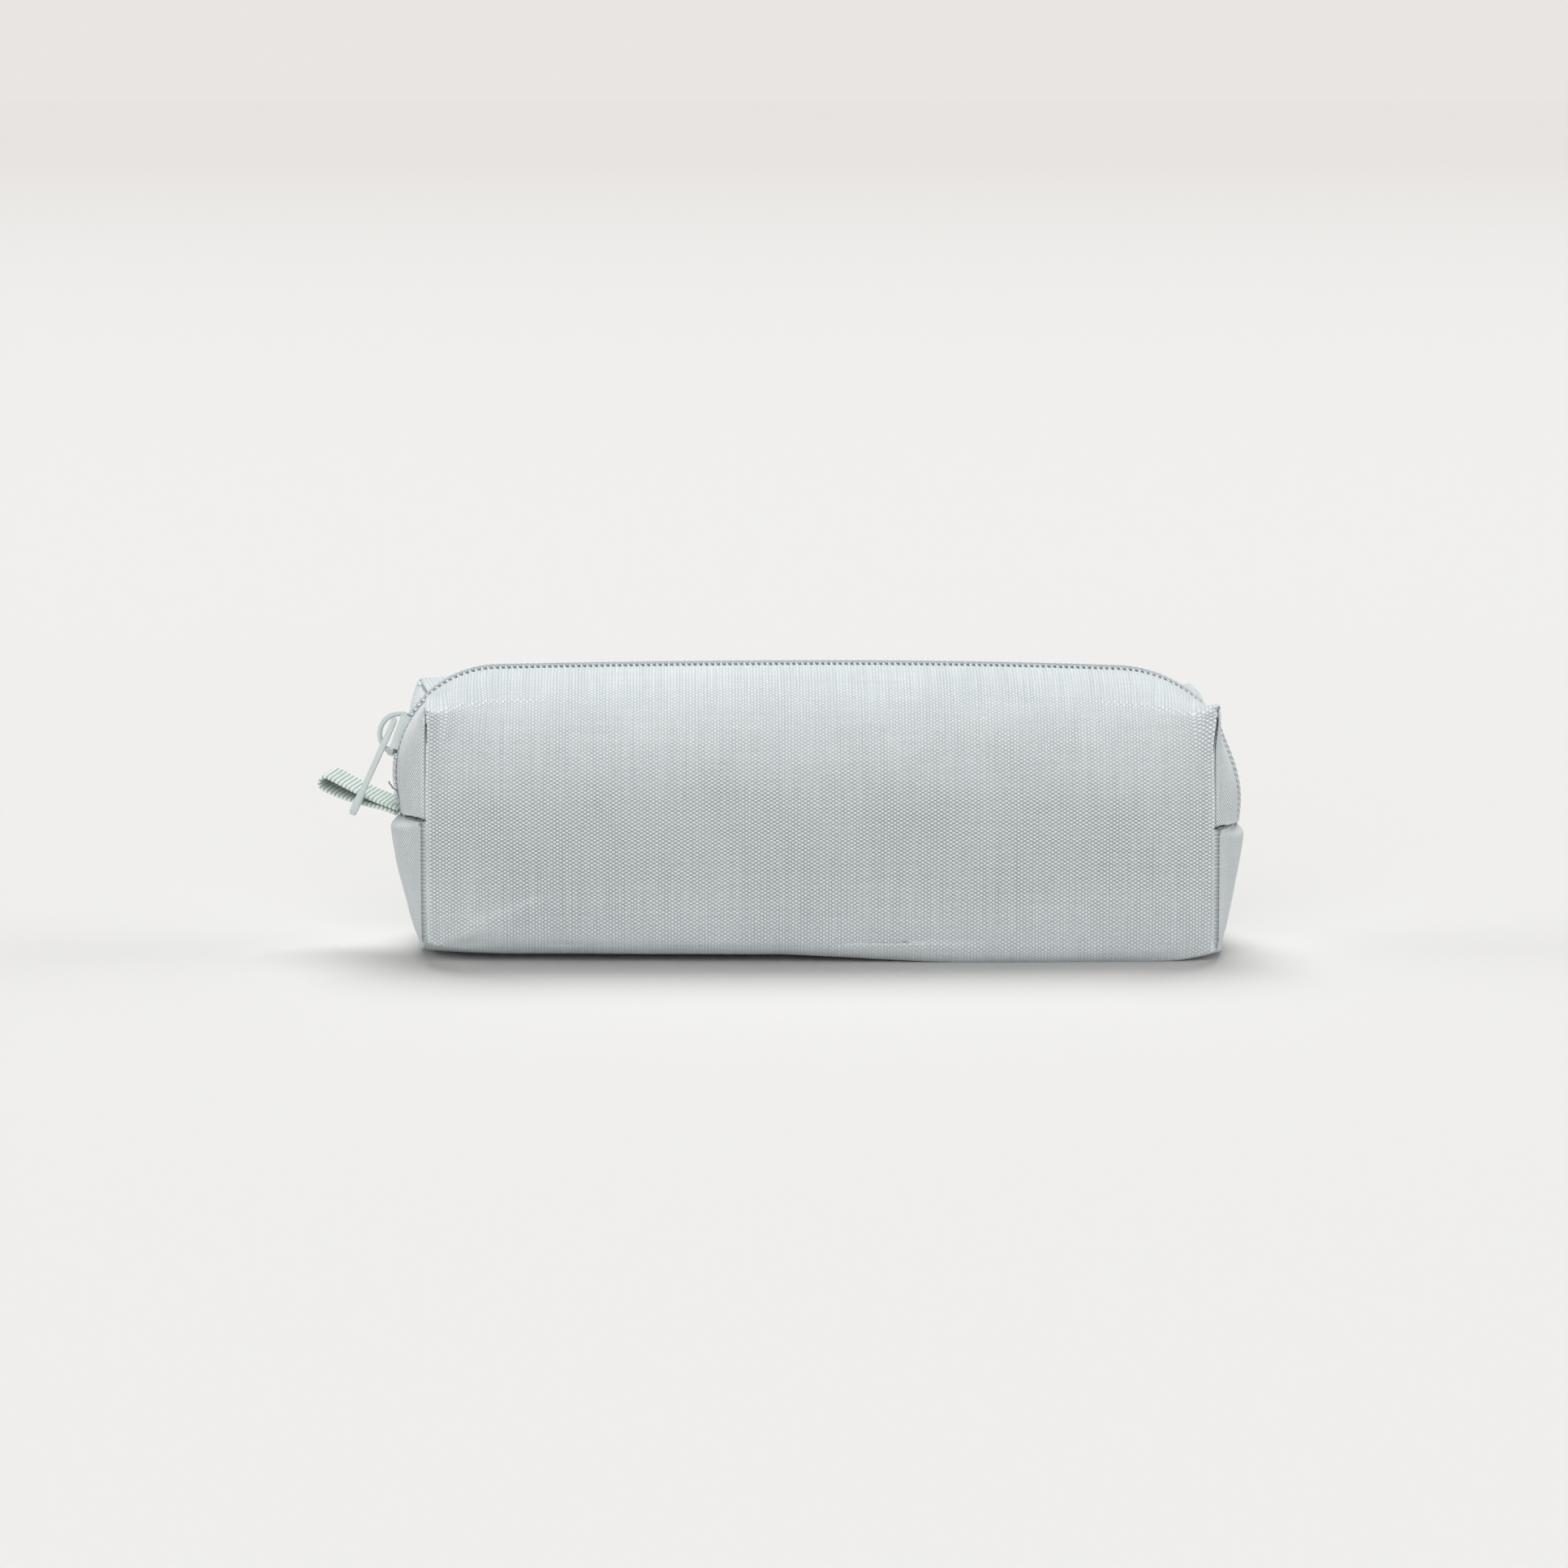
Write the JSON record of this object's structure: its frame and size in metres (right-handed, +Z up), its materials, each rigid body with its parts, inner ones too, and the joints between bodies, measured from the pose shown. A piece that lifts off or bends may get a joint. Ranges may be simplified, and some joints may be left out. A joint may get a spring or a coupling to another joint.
{
  "type": "pen pouch",
  "caption": "Boxed canvas pen pouch with a coil zip over the top, an arched slider with a long pull and a webbing end loop.",
  "frame": {"origin": "middle of the flat patch of base that the pouch stands on", "axes": "+X along the pouch from the slider's end to the other, +Y from the front to the back, +Z up"},
  "size_m": [0.2337, 0.0648, 0.0719],
  "materials": {
    "canvas": "pale blue-grey coated oxford canvas with a visible basket weave",
    "lining_cloth": "plain thin polyester lining, matte",
    "zip_tape": "fine woven zip tape, matte",
    "zip_coil": "nylon coil, soft sheen",
    "painted_slider": "smooth pale grey-green enamel",
    "webbing": "pale mint ribbed grosgrain webbing",
    "binding_tape": "folded woven binding tape, matte"
  },
  "bodies": {
    "pouch": {"outer_wrap": "canvas", "lining": "lining_cloth", "front_zip_tape": "zip_tape", "back_zip_tape": "zip_tape", "front_coil": "zip_coil", "back_coil": "zip_coil", "left_end_binding": "binding_tape", "right_end_binding": "binding_tape", "front_left_corner_binding": "binding_tape", "back_left_corner_binding": "binding_tape", "front_right_corner_binding": "binding_tape", "back_right_corner_binding": "binding_tape"},
    "slider": {"slider_body": "painted_slider"},
    "pull": {"pull_tab": "painted_slider"},
    "end_loop": {"webbing_loop": "webbing"}
  },
  "joints": [
    {"name": "slider_travel", "type": "hinge", "parent": "pouch", "child": "slider", "pos_m": [-0.0798, 0, 0.0446], "axis": [0, 1, 0], "range_deg": [0, 55], "deforming": ["front_coil", "back_coil"]},
    {"name": "pull_swing", "type": "hinge", "parent": "slider", "child": "pull", "pos_m": [-0.10625, 0.0008, 0.05657], "axis": [-0.1057, 0.9511, -0.2904], "range_deg": [0, 150]},
    {"name": "loop_flex", "type": "hinge", "parent": "pouch", "child": "end_loop", "pos_m": [-0.10718, 0.00323, 0.03595], "axis": [0, 0.9903, 0.1392], "range_deg": [-20, 0]}
  ]
}
